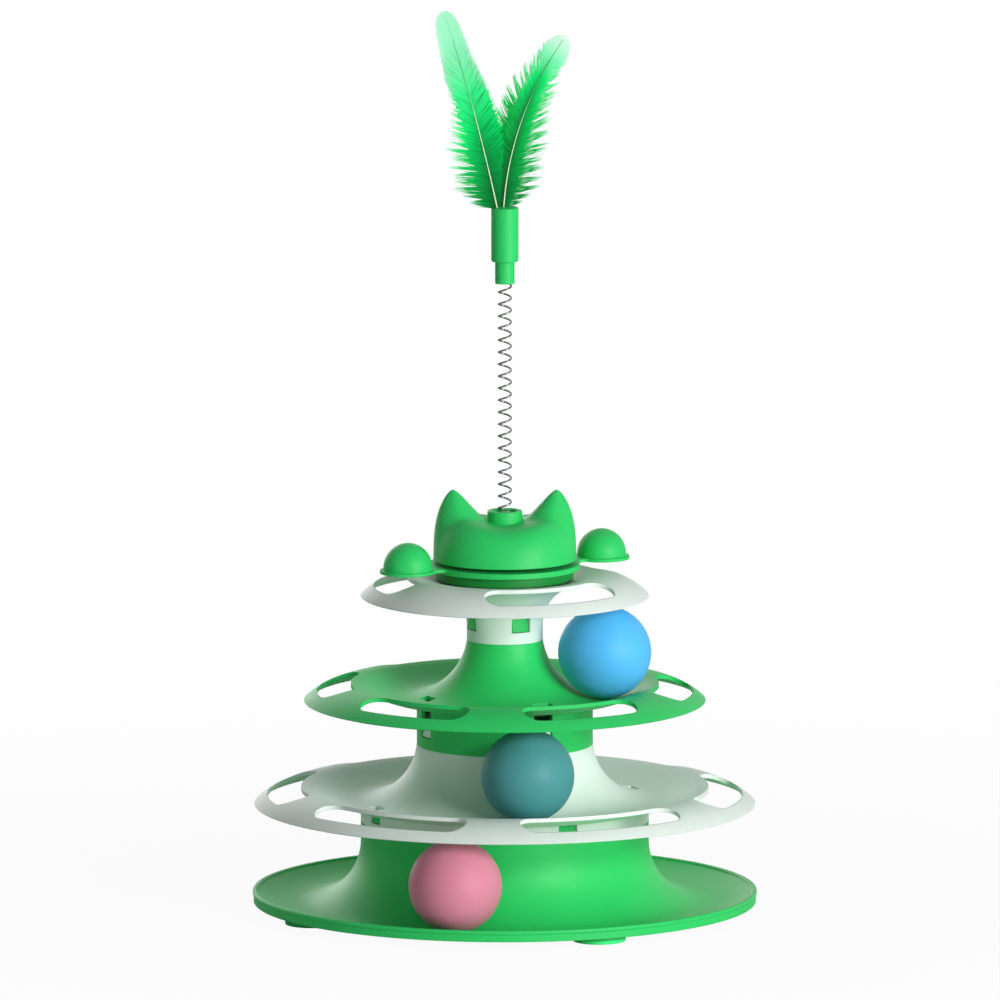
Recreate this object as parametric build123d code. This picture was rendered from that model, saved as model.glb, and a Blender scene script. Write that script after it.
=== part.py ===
from build123d import *
import math
import os

# Cat ball track tower: four stacked trays, three trapped balls, a spinner, an eared cap and a feather wand
# on a spring. Millimetres, +Z up. The origin is on the floor under the tower's axis and the front faces -Y.
# Azimuths are degrees from the front, growing towards +X. Radii are measured from the tower's axis.

# Moulded stock and clearances
wall = 2.0
fit_gap = 0.15
run_gap = 0.1
rest_gap = 0.3
overrun = 1.0
rim_bulge = 0.5
same_point = 1e-6

# Balls: hollow, each trapped in its own track
ball_diameter = 45.6
ball_wall = 1.5
pink_azimuth = -13.9
teal_azimuth = 8.8
blue_azimuth = 76.0

# Feet: round pads with a stud pushed up into a boss of the base tray
foot_count = 4
foot_orbit_share = 0.8537
foot_radius = 13.0
foot_height = 1.9
foot_edge_round = 0.7
stud_radius = 4.0
stud_height = 1.2

# Base tray: an upturned bowl round a trumpet hub, with a lip turned down at the rim
base_rim_radius = 123.0
base_hub_share = 0.5732
base_flare_share = 0.5714
base_underside_gap = 0.5
base_rim_rise = 5.2
base_lip_drop = 5.6
base_lip_round = 0.9
base_headroom = 2.3

# Lower tier: the white tray above the base, with its hub and flare as shares of rim and track
lower_rim_step = 0.4
lower_hub_share = 0.3507
lower_flare_share = 0.3769
lower_floor_rise = 2.4
lower_headroom = 3.2

# Middle tier: the green tray above that
middle_rim_share = 0.8018
middle_hub_share = 0.1862
middle_flare_share = 0.4
middle_floor_rise = 2.5
middle_headroom = 3.7

# Brim of the lower and middle tiers: a ridge round the track, and a bowed slope from it down to the rim
ridge_inset_share = 0.2776
ridge_rise = 8.7
crown_share = 0.7

# Peep slots through the brims
rim_band = 6.3
slot_width = 16.6
tray_slot_count = 6
tray_slot_azimuth = 27.0
lower_slot_angle = 46.0
middle_slot_angle = 42.0
top_slot_count = 3
top_slot_azimuth = 26.3
top_slot_angle = 73.0

# Snap joints: four wedge tabs on a spigot show through four windows in the collar above
snap_count = 4
snap_azimuth = 26.0
window_width = 10.0
window_sill = 5.6
window_margin = 1.2
window_headroom = 0.1
tab_height = 6.5
tab_lip = 0.4
tab_reach = 1.9
tab_play = 0.4
base_window_sill = 2.6
base_tab_height = 3.6
spigot_margin = 0.5
collar_headroom = 0.7
middle_collar_drop = 21.4

# Top tier: a white umbrella on a flaring collar, with a post inside for the spinner and the cap
top_rim_share = 0.7172
top_collar_drop = 21.6
top_slope_angle = 24.7
top_throat_share = 0.8
top_ridge_inset_share = 0.3404
top_ridge_rise = 10.2
web_clearance = 0.5
post_ledge = 3.0
post_rise = 4.4
journal_radius = 10.0
journal_wall = 2.5

# Spinner: a disc with a skirt and two hollow domes on short arms
spinner_share = 0.5206
spinner_rise = 16.2
spinner_thickness = 2.7
spinner_edge_round = 0.8
skirt_inset = 3.3
skirt_gap = 1.2
sleeve_wall = 2.4
dome_count = 2
dome_azimuth = 115.6
dome_radius = 12.0
dome_rise = 13.3
flange_lip = 1.7
flange_thickness = 1.5
arm_gap = 2.1
arm_width = 15.0
arm_round = 2.5

# Cap with cat ears
cap_gap = 1.9
cap_share = 0.9537
cap_taper = 0.8
cap_rise = 16.8
cap_crown_rise = 1.0
cap_saddle_rise = 3.4
cap_saddle_share = 0.75
cap_roll_drop = 10.8
cap_roll_share = 0.42
cap_skin_share = 1.5
cap_grid_count = 24
cap_seat_gap = 0.4
cap_seat_lip = 1.0
stem_length = 9.0
ear_rise = 17.6
ear_tip_share = 0.758
ear_tip_round = 1.0
ear_blend = 3.5
ear_inner_angle = 48.5
ear_outer_angle = 31.0
ear_front_angle = 48.5
boss_rise = 7.2
boss_room = 2.45
boss_wall = 2.6
boss_edge_round = 0.6

# Spring of the wand, on a plug in the cap's boss
plug_height = 3.0
plug_stub_gap = 0.25
plug_stub_rise = 3.6
wire_diameter = 0.95
coil_diameter = 6.15
coil_count = 20
spring_length = 112.4
spring_end_gap = 0.1
wire_bend_radius = 1.4
turn_quarters = 4

# Socket and sleeve at the top of the wand
socket_gap = 0.4
socket_wall = 0.85
socket_length = 10.8
socket_bore_depth = 7.0
tenon_length = 10.0
tenon_step = 0.4
tube_wall = 2.3
tube_length = 26.8
tube_edge_round = 0.8

# Feathers: a curved quill and a thin vane, whose lower edges part into tufts
quill_radius = 0.7
quill_depth = 8.0
quill_stagger = 1.3
quill_end_share = 0.9
vane_thickness = 0.6
vane_half_width = 16.0
vane_length_shares = (0.02, 0.08, 0.2, 0.42, 0.68, 0.9, 0.97, 1.0)
vane_outer_shares = (0.12, 0.75, 1.05, 0.88, 0.64, 0.42, 0.24, 0.04)
vane_inner_shares = (0.1, 0.3, 0.5, 0.62, 0.48, 0.34, 0.2, 0.04)
tuft_count = 9
tuft_end_share = 0.62
tuft_notch_share = 0.74
tuft_lift_share = 0.62
left_root = -3.8
left_length = 102.0
left_lean_angle = -12.0
left_bend_angle = -6.0
right_root = -0.6
right_length = 94.0
right_lean_angle = 4.0
right_bend_angle = 32.0

# Heights that follow from the ball and the stack
ball_radius = ball_diameter / 2
base_spigot_rise = base_window_sill + tab_play + base_tab_height + spigot_margin
tray_spigot_rise = window_sill + tab_play + tab_height + spigot_margin
lower_collar_drop = base_spigot_rise + collar_headroom
base_floor_height = foot_height + wall + base_underside_gap
lower_rim_height = base_floor_height + ball_diameter + base_headroom
lower_floor_height = lower_rim_height + lower_floor_rise
middle_rim_height = lower_floor_height + ball_diameter + lower_headroom
middle_floor_height = middle_rim_height + middle_floor_rise
top_rim_height = middle_floor_height + ball_diameter + middle_headroom
base_hub_height = lower_rim_height - lower_collar_drop
lower_hub_height = middle_rim_height - middle_collar_drop
middle_hub_height = top_rim_height - top_collar_drop
web_height = middle_hub_height + tray_spigot_rise + web_clearance
spinner_height = top_rim_height + spinner_rise
spinner_underside = spinner_height - spinner_thickness
post_height = top_rim_height + post_rise
journal_height = spinner_height + cap_seat_gap
cap_foot_height = spinner_height + cap_gap
cap_top_height = cap_foot_height + cap_rise
boss_height = cap_top_height + boss_rise
ear_top_height = cap_top_height + ear_rise
plug_top_height = cap_top_height + plug_height
socket_height = boss_height + spring_length
tube_foot_height = socket_height + socket_length
tube_top_height = tube_foot_height + tube_length

# Radii that follow from the base's rim
foot_orbit = foot_orbit_share * base_rim_radius
base_hub_radius = base_hub_share * base_rim_radius
base_flare_radius = base_flare_share * (base_rim_radius - base_hub_radius)
lower_rim_radius = base_rim_radius - lower_rim_step
lower_hub_radius = lower_hub_share * lower_rim_radius
lower_flare_radius = lower_flare_share * (lower_rim_radius - lower_hub_radius)
middle_rim_radius = middle_rim_share * lower_rim_radius
middle_hub_radius = middle_hub_share * middle_rim_radius
middle_flare_radius = middle_flare_share * (middle_rim_radius - middle_hub_radius)
top_rim_radius = top_rim_share * middle_rim_radius
top_ridge_inset = top_ridge_inset_share * top_rim_radius
spinner_radius = spinner_share * top_rim_radius
skirt_radius = spinner_radius - skirt_inset
flange_radius = dome_radius + flange_lip
dome_orbit = spinner_radius + flange_radius + arm_gap
cap_radius = cap_share * spinner_radius
cap_top_radius = cap_radius - cap_taper
cap_saddle_radius = cap_saddle_share * cap_top_radius
cap_roll_reach = cap_roll_share * cap_top_radius
ear_tip_radius = ear_tip_share * cap_top_radius

# Radii that follow from the spinner's axle and from the spring's wire
post_radius = journal_radius + post_ledge
journal_bore_radius = journal_radius - journal_wall
cap_seat_radius = journal_radius + cap_seat_lip
coil_outside = (coil_diameter + wire_diameter) / 2
plug_stub_radius = (coil_diameter - wire_diameter) / 2 - plug_stub_gap
boss_bore_radius = coil_outside + boss_room
boss_radius = boss_bore_radius + boss_wall
socket_bore_radius = coil_outside + socket_gap
socket_radius = socket_bore_radius + socket_wall
tenon_radius = socket_radius - tenon_step
tube_radius = tenon_radius + tube_wall

# Round stock is drawn standing on its foot, and the front is a quarter turn back from +X
standing = (Align.CENTER, Align.CENTER, Align.MIN)
quarter_turn = 90
half_turn = 180


def on_circle(centre, radius, degrees):
    """A point on a circle in the plane of radius and height."""
    angle = math.radians(degrees)
    return (centre[0] + radius * math.cos(angle), centre[1] + radius * math.sin(angle))


def circle_radius_at(centre, radius, height):
    """How far from the axis the near side of a circle lies at a height."""
    return centre[0] - math.sqrt(radius ** 2 - (height - centre[1]) ** 2)


def circle_foot_at(centre, radius, distance):
    """How high the underside of a circle lies at a distance from the axis."""
    return centre[1] - math.sqrt(radius ** 2 - (centre[0] - distance) ** 2)


class Outline:
    """A closed outline in the plane of radius and height, drawn from point to point."""

    def __init__(self, start):
        self.start = start
        self.at = start
        self.edges = []

    def line(self, point):
        if math.dist(self.at, point) > same_point:
            self.edges.append(Line(self.at, point))
        self.at = point
        return self

    def arc(self, centre, radius, start, end):
        first = on_circle(centre, radius, start)
        middle = on_circle(centre, radius, (start + end) / 2)
        last = on_circle(centre, radius, end)
        self.line(first)
        self.edges.append(ThreePointArc(first, middle, last))
        self.at = last
        return self

    def arcs(self, chain):
        for centre, radius, start, end in chain:
            self.arc(centre, radius, start, end)
        return self

    def bulge(self, point, rise):
        """A shallow arc that stands proud of the straight run to a point."""
        run = math.dist(self.at, point)
        across = (point[1] - self.at[1]) / run
        along = (point[0] - self.at[0]) / run
        crest = ((self.at[0] + point[0]) / 2 - across * rise, (self.at[1] + point[1]) / 2 + along * rise)
        self.edges.append(ThreePointArc(self.at, crest, point))
        self.at = point
        return self

    def face(self):
        self.line(self.start)
        return make_face(self.edges)


def box_face(near, far, foot, head):
    """A rectangle in the plane of radius and height."""
    return Outline((near, foot)).line((far, foot)).line((far, head)).line((near, head)).face()


def rounded_face(near, far, foot, head, bend):
    """A rectangle in the plane of radius and height, with its two upper corners rounded."""
    outline = Outline((near, foot)).line((far, foot))
    outline.arc((far - bend, head - bend), bend, 0, quarter_turn)
    return outline.arc((near + bend, head - bend), bend, quarter_turn, half_turn).face()


def turned(face):
    """A face turned all the way round the tower's axis."""
    return revolve(Plane.XZ * face, Axis.Z)


def plan_angle(azimuth):
    """The angle from +X of an azimuth."""
    return azimuth - quarter_turn


def turned_sector(face, azimuth, span):
    """A face turned through part of a circle, centred on an azimuth."""
    return Rot(0, 0, plan_angle(azimuth - span / 2)) * revolve(Plane.XZ * face, Axis.Z, span)


def place_at(azimuth, orbit, height):
    """A place at an azimuth and a distance from the axis."""
    angle = math.radians(plan_angle(azimuth))
    return Pos(orbit * math.cos(angle), orbit * math.sin(angle), height)


def evenly(count, first):
    """Azimuths of a feature that repeats round the axis."""
    return [first + 360 * number / count for number in range(count)]


def reversed_chain(chain):
    """The same arcs, drawn from the other end."""
    return [(centre, radius, end, start) for centre, radius, start, end in reversed(chain)]


def shell_face(upper, lower, end_height):
    """The wall between an upper and a lower chain of arcs, run straight to a height at the axis end."""
    upper_start = on_circle(*upper[0][:3])
    lower_start = on_circle(*lower[0][:3])
    lower_end = on_circle(*lower[-1][:2], lower[-1][3])
    outline = Outline((upper_start[0], end_height)).arcs(upper).bulge(lower_end, rim_bulge)
    return outline.arcs(reversed_chain(lower)).line((lower_start[0], end_height)).face()


def flare_start(centre, radius, shoulder):
    """Where a trumpet arc begins: upright, or cut off by the shoulder if that lies lower."""
    return 180 + math.degrees(math.asin(max(0, centre[1] - shoulder) / radius))


def tangent_slope(first, last, reach):
    """Slope of the straight run that touches two circles, whose radii add or differ to the reach."""
    across = last[0] - first[0]
    up = last[1] - first[1]
    return math.degrees(math.atan2(up, across) + math.asin(reach / math.hypot(across, up)))


def base_chains():
    """Upper and lower arcs of the base tray: trumpet hub, then a shallow bowl out to the rim."""
    flare_at = (base_hub_radius + base_flare_radius, base_floor_height + base_flare_radius)
    reach = base_rim_radius - flare_at[0]
    bowl_radius = (reach ** 2 + base_rim_rise ** 2) / (2 * base_rim_rise)
    bowl_at = (flare_at[0], base_floor_height + bowl_radius)
    chains = []
    for skin in (0, wall):
        flare = base_flare_radius + skin
        bowl = bowl_radius + skin
        start = flare_start(flare_at, flare, base_hub_height)
        end = 270 + math.degrees(math.asin(reach / bowl))
        chains.append([(flare_at, flare, start, 270), (bowl_at, bowl, 270, end)])
    return chains


def tray_chains(rim, hub, flare, rim_height, floor_height, shoulder):
    """Upper and lower arcs of a tray: trumpet hub, sloping track, crown and a bowed brim down to the rim."""
    flare_at = (hub + flare, floor_height + flare)
    ridge_inset = ridge_inset_share * (rim - hub)
    ridge = (rim - ridge_inset, rim_height + ridge_rise)
    # The crown's inner side takes up a share of the largest bend that leaves a straight run to the track
    run = ridge[0] - flare_at[0]
    rise = ridge[1] - floor_height
    crown = crown_share * ((run ** 2 + rise ** 2) / (2 * rise) - flare)
    crown_at = (ridge[0], ridge[1] - crown)
    slope = tangent_slope(flare_at, crown_at, crown + flare)
    brim = (ridge_inset ** 2 + ridge_rise ** 2) / (2 * ridge_rise)
    brim_at = (ridge[0], ridge[1] - brim)
    chains = []
    for skin in (0, wall):
        start = flare_start(flare_at, flare + skin, shoulder)
        end = math.degrees(math.asin((rim_height - brim_at[1]) / (brim - skin)))
        chains.append([
            (flare_at, flare + skin, start, 270 + slope),
            (crown_at, crown - skin, 90 + slope, 90),
            (brim_at, brim - skin, 90, end),
        ])
    return chains


def top_chains(collar):
    """Upper and lower arcs of the top tier: flaring collar, straight slope and one crown down to the rim."""
    crown = (top_ridge_inset ** 2 + top_ridge_rise ** 2) / (2 * top_ridge_rise)
    crown_at = (top_rim_radius - top_ridge_inset, top_rim_height + top_ridge_rise - crown)
    # The throat takes up most of the slope between the collar's inside and the crown
    slope = math.radians(top_slope_angle)
    crown_start = on_circle(crown_at, crown, quarter_turn + top_slope_angle)
    inside = collar - wall
    run = (crown_start[0] - inside) / math.cos(slope)
    corner = crown_start[1] - run * math.sin(slope)
    throat_run = top_throat_share * run
    throat = throat_run / math.tan((math.radians(quarter_turn) - slope) / 2)
    throat_at = (inside + throat, corner - throat_run)
    chains = []
    for skin in (0, wall):
        end = math.degrees(math.asin((top_rim_height - crown_at[1]) / (crown - skin)))
        chains.append([
            (throat_at, throat - skin, half_turn, quarter_turn + top_slope_angle),
            (crown_at, crown - skin, quarter_turn + top_slope_angle, end),
        ])
    return chains


def top_height_at(distance):
    """How high the top tier's crown lies at a distance from the axis."""
    centre, radius = top_arcs[0][-1][:2]
    return centre[1] + math.sqrt(radius ** 2 - (centre[0] - distance) ** 2)


def shoulder_radius(chains):
    """Radius of a hub at its shoulder, which is the outside of the collar that stands there."""
    return on_circle(*chains[0][0][:3])[0]


def spigot_face(collar, shoulder, rise):
    """The rebated end of a hub: a shoulder for the collar and a thinner ring inside it."""
    outside = collar - wall - fit_gap
    inside = outside - wall
    foot = shoulder - wall
    ring = box_face(inside, outside, foot, shoulder + rise)
    return ring + box_face(inside, collar, foot, shoulder)


def snap_tabs(collar, shoulder, sill, height):
    """Wedge tabs on a spigot, thick at the ledge that catches the window's sill."""
    outside = collar - wall - fit_gap
    inside = outside - wall / 2
    foot = shoulder + sill + tab_play
    wedge = Outline((inside, foot)).line((outside + tab_reach, foot))
    wedge.line((outside + tab_lip, foot + height)).line((inside, foot + height))
    span = math.degrees((window_width - 2 * tab_play) / collar)
    return [turned_sector(wedge.face(), azimuth, span) for azimuth in evenly(snap_count, snap_azimuth)]


def snap_windows(collar, foot, head):
    """Cuts for the windows in a collar, wide enough to leave the moulder's shut-off hole above."""
    opening = box_face(collar - wall - window_margin, collar + window_margin, foot, head)
    span = math.degrees(window_width / collar)
    return [turned_sector(opening, azimuth, span) for azimuth in evenly(snap_count, snap_azimuth)]


def peep_slots(rim, foot, head, count, azimuth, angle):
    """Cuts for the curved slots with round ends that lie just inside a rim."""
    middle = rim - rim_band - slot_width / 2
    arc_angle = angle - math.degrees(slot_width / middle)
    cuts = []
    for centre in evenly(count, azimuth):
        path = CenterArc((0, 0), middle, plan_angle(centre - arc_angle / 2), arc_angle)
        cuts.append(extrude(Pos(0, 0, foot) * SlotArc(path, slot_width), head - foot))
    return cuts


base_arcs = base_chains()
lower_arcs = tray_chains(
    lower_rim_radius, lower_hub_radius, lower_flare_radius,
    lower_rim_height, lower_floor_height, lower_hub_height,
)
middle_arcs = tray_chains(
    middle_rim_radius, middle_hub_radius, middle_flare_radius,
    middle_rim_height, middle_floor_height, middle_hub_height,
)
lower_collar = shoulder_radius(base_arcs)
middle_collar = shoulder_radius(lower_arcs)
top_collar = shoulder_radius(middle_arcs)
top_arcs = top_chains(top_collar)


def base_tray():
    upper, lower = base_arcs
    profile = shell_face(upper, lower, base_hub_height)
    profile += spigot_face(lower_collar, base_hub_height, base_spigot_rise)
    rim_head = base_floor_height + base_rim_rise
    profile += rounded_face(
        base_rim_radius - wall, base_rim_radius, rim_head - base_lip_drop, rim_head, base_lip_round,
    )
    tray = turned(profile)
    tray += snap_tabs(lower_collar, base_hub_height, base_window_sill, base_tab_height)
    # Bosses for the feet run up to the tray's floor and no further
    hub_start = on_circle(*upper[0][:3])
    rim_end = on_circle(*upper[-1][:2], upper[-1][3])
    above = Outline(hub_start).arcs(upper).line((rim_end[0], hub_start[1])).face()
    boss = Cylinder(foot_radius, base_rim_rise + base_floor_height, align=standing)
    hole = Cylinder(stud_radius + run_gap, stud_height + run_gap, align=standing)
    places = [place_at(azimuth, foot_orbit, foot_height) for azimuth in evenly(foot_count, snap_azimuth)]
    tray += [place * boss - turned(above) for place in places]
    return tray - [place * hole for place in places]


def foot(azimuth):
    pad = Cylinder(foot_radius, foot_height, align=standing)
    pad = fillet(pad.edges().group_by(Axis.Z)[0], foot_edge_round)
    stud = Cylinder(stud_radius, foot_height + stud_height, align=standing)
    return place_at(azimuth, foot_orbit, 0) * (pad + stud)


def slotted_tray(chains, collar, collar_foot, shoulder, sill):
    """A tray with its own collar below and a spigot above, before its slots are cut."""
    upper, lower = chains
    flare_at, flare = upper[0][:2]
    mid_wall = circle_foot_at(flare_at, flare + wall / 2, collar - wall / 2)
    profile = shell_face(upper, lower, shoulder)
    profile += spigot_face(shoulder_radius(chains), shoulder, tray_spigot_rise)
    profile += box_face(collar - wall, collar, collar_foot, mid_wall)
    tray = turned(profile)
    disc_top = circle_foot_at(flare_at, flare, collar - wall - window_margin)
    tray -= snap_windows(collar, collar_foot + sill, disc_top + overrun)
    return tray + snap_tabs(shoulder_radius(chains), shoulder, window_sill, tab_height)


def lower_tier():
    tray = slotted_tray(lower_arcs, lower_collar, base_hub_height, lower_hub_height, base_window_sill)
    return tray - peep_slots(
        lower_rim_radius, lower_rim_height, lower_rim_height + ridge_rise + overrun,
        tray_slot_count, tray_slot_azimuth, lower_slot_angle,
    )


def middle_tier():
    tray = slotted_tray(middle_arcs, middle_collar, lower_hub_height, middle_hub_height, window_sill)
    return tray - peep_slots(
        middle_rim_radius, middle_rim_height, middle_rim_height + ridge_rise + overrun,
        tray_slot_count, tray_slot_azimuth, middle_slot_angle,
    )


def top_tier():
    upper, lower = top_arcs
    throat_at, throat = upper[0][:2]
    web_head = web_height + wall
    web_edge = circle_radius_at(throat_at, throat - wall / 2, (web_height + web_head) / 2)
    profile = shell_face(upper, lower, middle_hub_height)
    profile += box_face(journal_bore_radius, web_edge, web_height, web_head)
    profile += box_face(journal_bore_radius, post_radius, web_height, post_height)
    profile += box_face(journal_bore_radius, journal_radius, web_height, journal_height)
    tier = turned(profile)
    sill_height = middle_hub_height + window_sill
    tier -= snap_windows(top_collar, sill_height, sill_height + tab_play + tab_height + window_headroom)
    return tier - peep_slots(
        top_rim_radius, top_rim_height, top_rim_height + top_ridge_rise + overrun,
        top_slot_count, top_slot_azimuth, top_slot_angle,
    )


def dome(inset):
    """A dome's outside, or the hollow under it when inset by the wall."""
    radius = dome_radius - inset
    straight = dome_rise - dome_radius + flange_thickness
    drum = Cylinder(radius, straight, align=standing)
    return drum + Pos(0, 0, straight) * Sphere(radius, arc_size1=0, align=standing)


def spinner():
    flange_height = spinner_height - flange_thickness
    azimuths = evenly(dome_count, dome_azimuth)
    places = [place_at(azimuth, dome_orbit, flange_height) for azimuth in azimuths]
    # Arms and flanges are one thin plate with rounded inner corners
    plan = Circle(spinner_radius)
    for azimuth in azimuths:
        plan += place_at(azimuth, dome_orbit, 0) * Circle(flange_radius)
        arm = Rot(0, 0, plan_angle(azimuth)) * Rectangle(dome_orbit, arm_width)
        plan += place_at(azimuth, dome_orbit / 2, 0) * arm
    plan = fillet([v for v in plan.vertices() if Vector(v).length < dome_orbit], arm_round)
    plate = extrude(Pos(0, 0, flange_height) * plan, flange_thickness)
    bore = journal_radius + run_gap
    middle_height = spinner_height - spinner_thickness / 2
    skirt_foot = top_height_at(skirt_radius) + skirt_gap
    profile = rounded_face(bore, spinner_radius, spinner_underside, spinner_height, spinner_edge_round)
    profile += box_face(skirt_radius - wall, skirt_radius, skirt_foot, middle_height)
    profile += box_face(bore, bore + sleeve_wall, post_height + rest_gap, middle_height)
    plate += turned(profile)
    plate += [place * dome(0) for place in places]
    plate -= [place * dome(wall) for place in places]
    return plate - turned(box_face(0, bore, post_height, spinner_height + overrun))


def cap_height_at(x, y):
    """How high the cap's top lies: a saddle with a pointed ear at each side, rolled over at the edge."""
    saddle_share = min(1, abs(x) / cap_saddle_radius)
    saddle = cap_top_height + cap_crown_rise + cap_saddle_rise * (1 - math.cos(math.pi * saddle_share)) / 2
    outward = abs(x) - ear_tip_radius
    side_angle = ear_outer_angle if outward > 0 else ear_inner_angle
    side_fall = outward * math.tan(math.radians(side_angle))
    front_fall = y * math.tan(math.radians(ear_front_angle))
    peak = ear_top_height + ear_tip_round - math.hypot(side_fall, front_fall, ear_tip_round)
    # Ear and saddle run into each other without a crease
    height = (saddle + peak + math.hypot(saddle - peak, ear_blend)) / 2
    # Past the wall the roll runs on straight
    edge_share = max(0, math.hypot(x, y) - cap_top_radius + cap_roll_reach) / cap_roll_reach
    roll_share = edge_share ** 4 if edge_share < 1 else 4 * edge_share - 3
    return height - cap_roll_drop * roll_share


def cap_face(inset):
    """Half section of the cap's tapering drum, inset by the wall for the hollow."""
    outline = Outline((0, cap_foot_height)).line((cap_radius - inset, cap_foot_height))
    outline.line((cap_top_radius - inset, ear_top_height + overrun))
    return outline.line((0, ear_top_height + overrun)).face()


def cap_block(inset, drop):
    """The cap's drum up to its top, inset and lowered for the hollow, as four mirrored quarters."""
    reach = cap_radius + overrun
    places = [reach * number / cap_grid_count for number in range(-1, cap_grid_count + 1)]
    grid = [[(x, y, cap_height_at(x, y) - drop) for y in places] for x in places]
    top = Face.make_surface_from_array_of_points(grid)
    under = extrude(top, 2 * (cap_rise + ear_rise), dir=(0, 0, -1))
    quarter = revolve(Plane.XZ * cap_face(inset), Axis.Z, quarter_turn) & under
    half = quarter + mirror(quarter, Plane.XZ)
    return half + mirror(half, Plane.YZ)


def cat_ear_cap():
    cap = cap_block(0, 0) - cap_block(wall, cap_skin_share * wall)
    floor = cap_top_height - wall
    stem = journal_bore_radius - run_gap
    profile = box_face(stem - wall, stem, journal_height - stem_length, floor + wall / 2)
    profile += box_face(stem - wall, cap_seat_radius, journal_height, journal_height + wall)
    profile += rounded_face(boss_bore_radius, boss_radius, floor, boss_height, boss_edge_round)
    cap += turned(profile)
    return cap - turned(box_face(0, boss_bore_radius, cap_top_height, boss_height + overrun))


def spring_plug():
    plug = Cylinder(boss_bore_radius - run_gap, plug_height, align=standing)
    stub = Cylinder(plug_stub_radius, plug_height + plug_stub_rise, align=standing)
    return Pos(0, 0, cap_top_height) * (plug + stub)


def biarc(start, start_way, end, end_way):
    """Two arcs that leave one point and reach another in given directions."""
    span = end - start
    ways = start_way + end_way
    spread = 2 * (1 - start_way.dot(end_way))
    along = span.dot(ways)
    reach = (math.sqrt(along ** 2 + spread * span.dot(span)) - along) / spread
    meeting = (start + end + (start_way - end_way) * reach) / 2
    first = TangentArc(start, meeting, tangent=start_way)
    return [first, TangentArc(meeting, end, tangent=first % 1)]


def spring():
    """Round wire wound in one helix, with an upright tail at each end."""
    foot = plug_top_height + spring_end_gap
    head = socket_height + socket_bore_depth - spring_end_gap
    coil_radius = coil_diameter / 2
    # The tails bend upright, so the climb left for the turns depends a little on the pitch itself
    tails = 2 * (wire_diameter + wire_bend_radius)
    pitch = (head - foot - tails) / coil_count
    rise = pitch / (2 * math.pi)
    slope = math.atan2(rise, coil_radius)
    bend_up = wire_bend_radius * math.cos(slope)
    bend_out = wire_bend_radius * (1 - math.sin(slope))
    slack = wire_bend_radius - bend_up

    def turn(quarters):
        angle = quarters * math.pi / 2
        height = foot + wire_diameter + bend_up + slack + rise * angle
        return Vector(coil_radius * math.cos(angle), coil_radius * math.sin(angle), height)

    def way(quarters):
        angle = quarters * math.pi / 2
        return Vector(-coil_radius * math.sin(angle), coil_radius * math.cos(angle), rise).normalized()

    quarters = coil_count * turn_quarters
    up = Vector(0, 0, 1)
    low = turn(0) - Vector(0, bend_out, bend_up)
    high = turn(quarters) + Vector(0, bend_out, bend_up)
    edges = [Line(Vector(low.X, low.Y, foot), low), TangentArc(low, turn(0), tangent=up)]
    for quarter in range(quarters):
        edges += biarc(turn(quarter), way(quarter), turn(quarter + 1), way(quarter + 1))
    edges.append(TangentArc(turn(quarters), high, tangent=way(quarters)))
    edges.append(Line(high, Vector(high.X, high.Y, head)))
    path = Wire(edges)
    wire = sweep(Plane(origin=edges[0] @ 0, z_dir=up) * Circle(wire_diameter / 2), path)
    report_spring(path, wire, pitch)
    return wire


def report_spring(path, wire, pitch):
    """Print the least gap between turns and how the volume compares with section times length."""
    steps = coil_count * turn_quarters * 4
    points = [path @ (step / steps) for step in range(steps + 1)]
    apart = turn_quarters * 2
    gaps = [
        (points[i] - points[j]).length
        for i in range(len(points)) for j in range(i + apart, len(points))
    ]
    section = math.pi * wire_diameter ** 2 / 4
    print("spring pitch", round(pitch, 3), "least gap", round(min(gaps) - wire_diameter, 3))
    print("spring volume over section times length", round(wire.volume / (section * path.length), 4))


def spring_socket():
    profile = box_face(0, socket_radius, socket_height, tube_foot_height)
    profile += box_face(0, tenon_radius, tube_foot_height - wall, tube_foot_height + tenon_length)
    bore = box_face(0, socket_bore_radius, socket_height - overrun, socket_height + socket_bore_depth)
    return turned(profile) - turned(bore)


def feather_sleeve():
    tube = Cylinder(tube_radius, tube_length, align=standing)
    tube = fillet(tube.edges().filter_by(GeomType.CIRCLE), tube_edge_round)
    tube = Pos(0, 0, tube_foot_height) * tube
    mortise = box_face(
        0, tenon_radius + run_gap, tube_foot_height - overrun, tube_foot_height + tenon_length + run_gap,
    )
    tube -= turned(mortise)
    return tube - [feather_quill(*line, quill_radius + run_gap) for line in (left_line, right_line)]


left_line = (left_root, -quill_stagger, left_lean_angle, left_bend_angle, left_length)
right_line = (right_root, quill_stagger, right_lean_angle, right_bend_angle, right_length)


def quill_point(line, share, width):
    """A point in the plane of X and Z, at a share of a quill's length and a distance to its right."""
    root, _, lean, bend, length = line
    radius = length / math.radians(bend)
    start = math.radians(lean)
    now = math.radians(lean + bend * share)
    x = root + radius * (math.cos(start) - math.cos(now)) + width * math.cos(now)
    z = tube_top_height + radius * (math.sin(now) - math.sin(start)) - width * math.sin(now)
    return (x, z)


def feather_quill(root, stagger, lean, bend, length, radius):
    """A quill from its seat in the sleeve to near the feather's tip."""
    line = (root, stagger, lean, bend, length)
    seat_share = -quill_depth / length
    points = []
    for share in (seat_share, 0, quill_end_share / 2, quill_end_share):
        x, z = quill_point(line, share, 0)
        points.append((x, stagger, z))
    path = Spline(*points)
    return sweep(Plane(origin=path @ 0, z_dir=path % 0) * Circle(radius), path)


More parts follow.
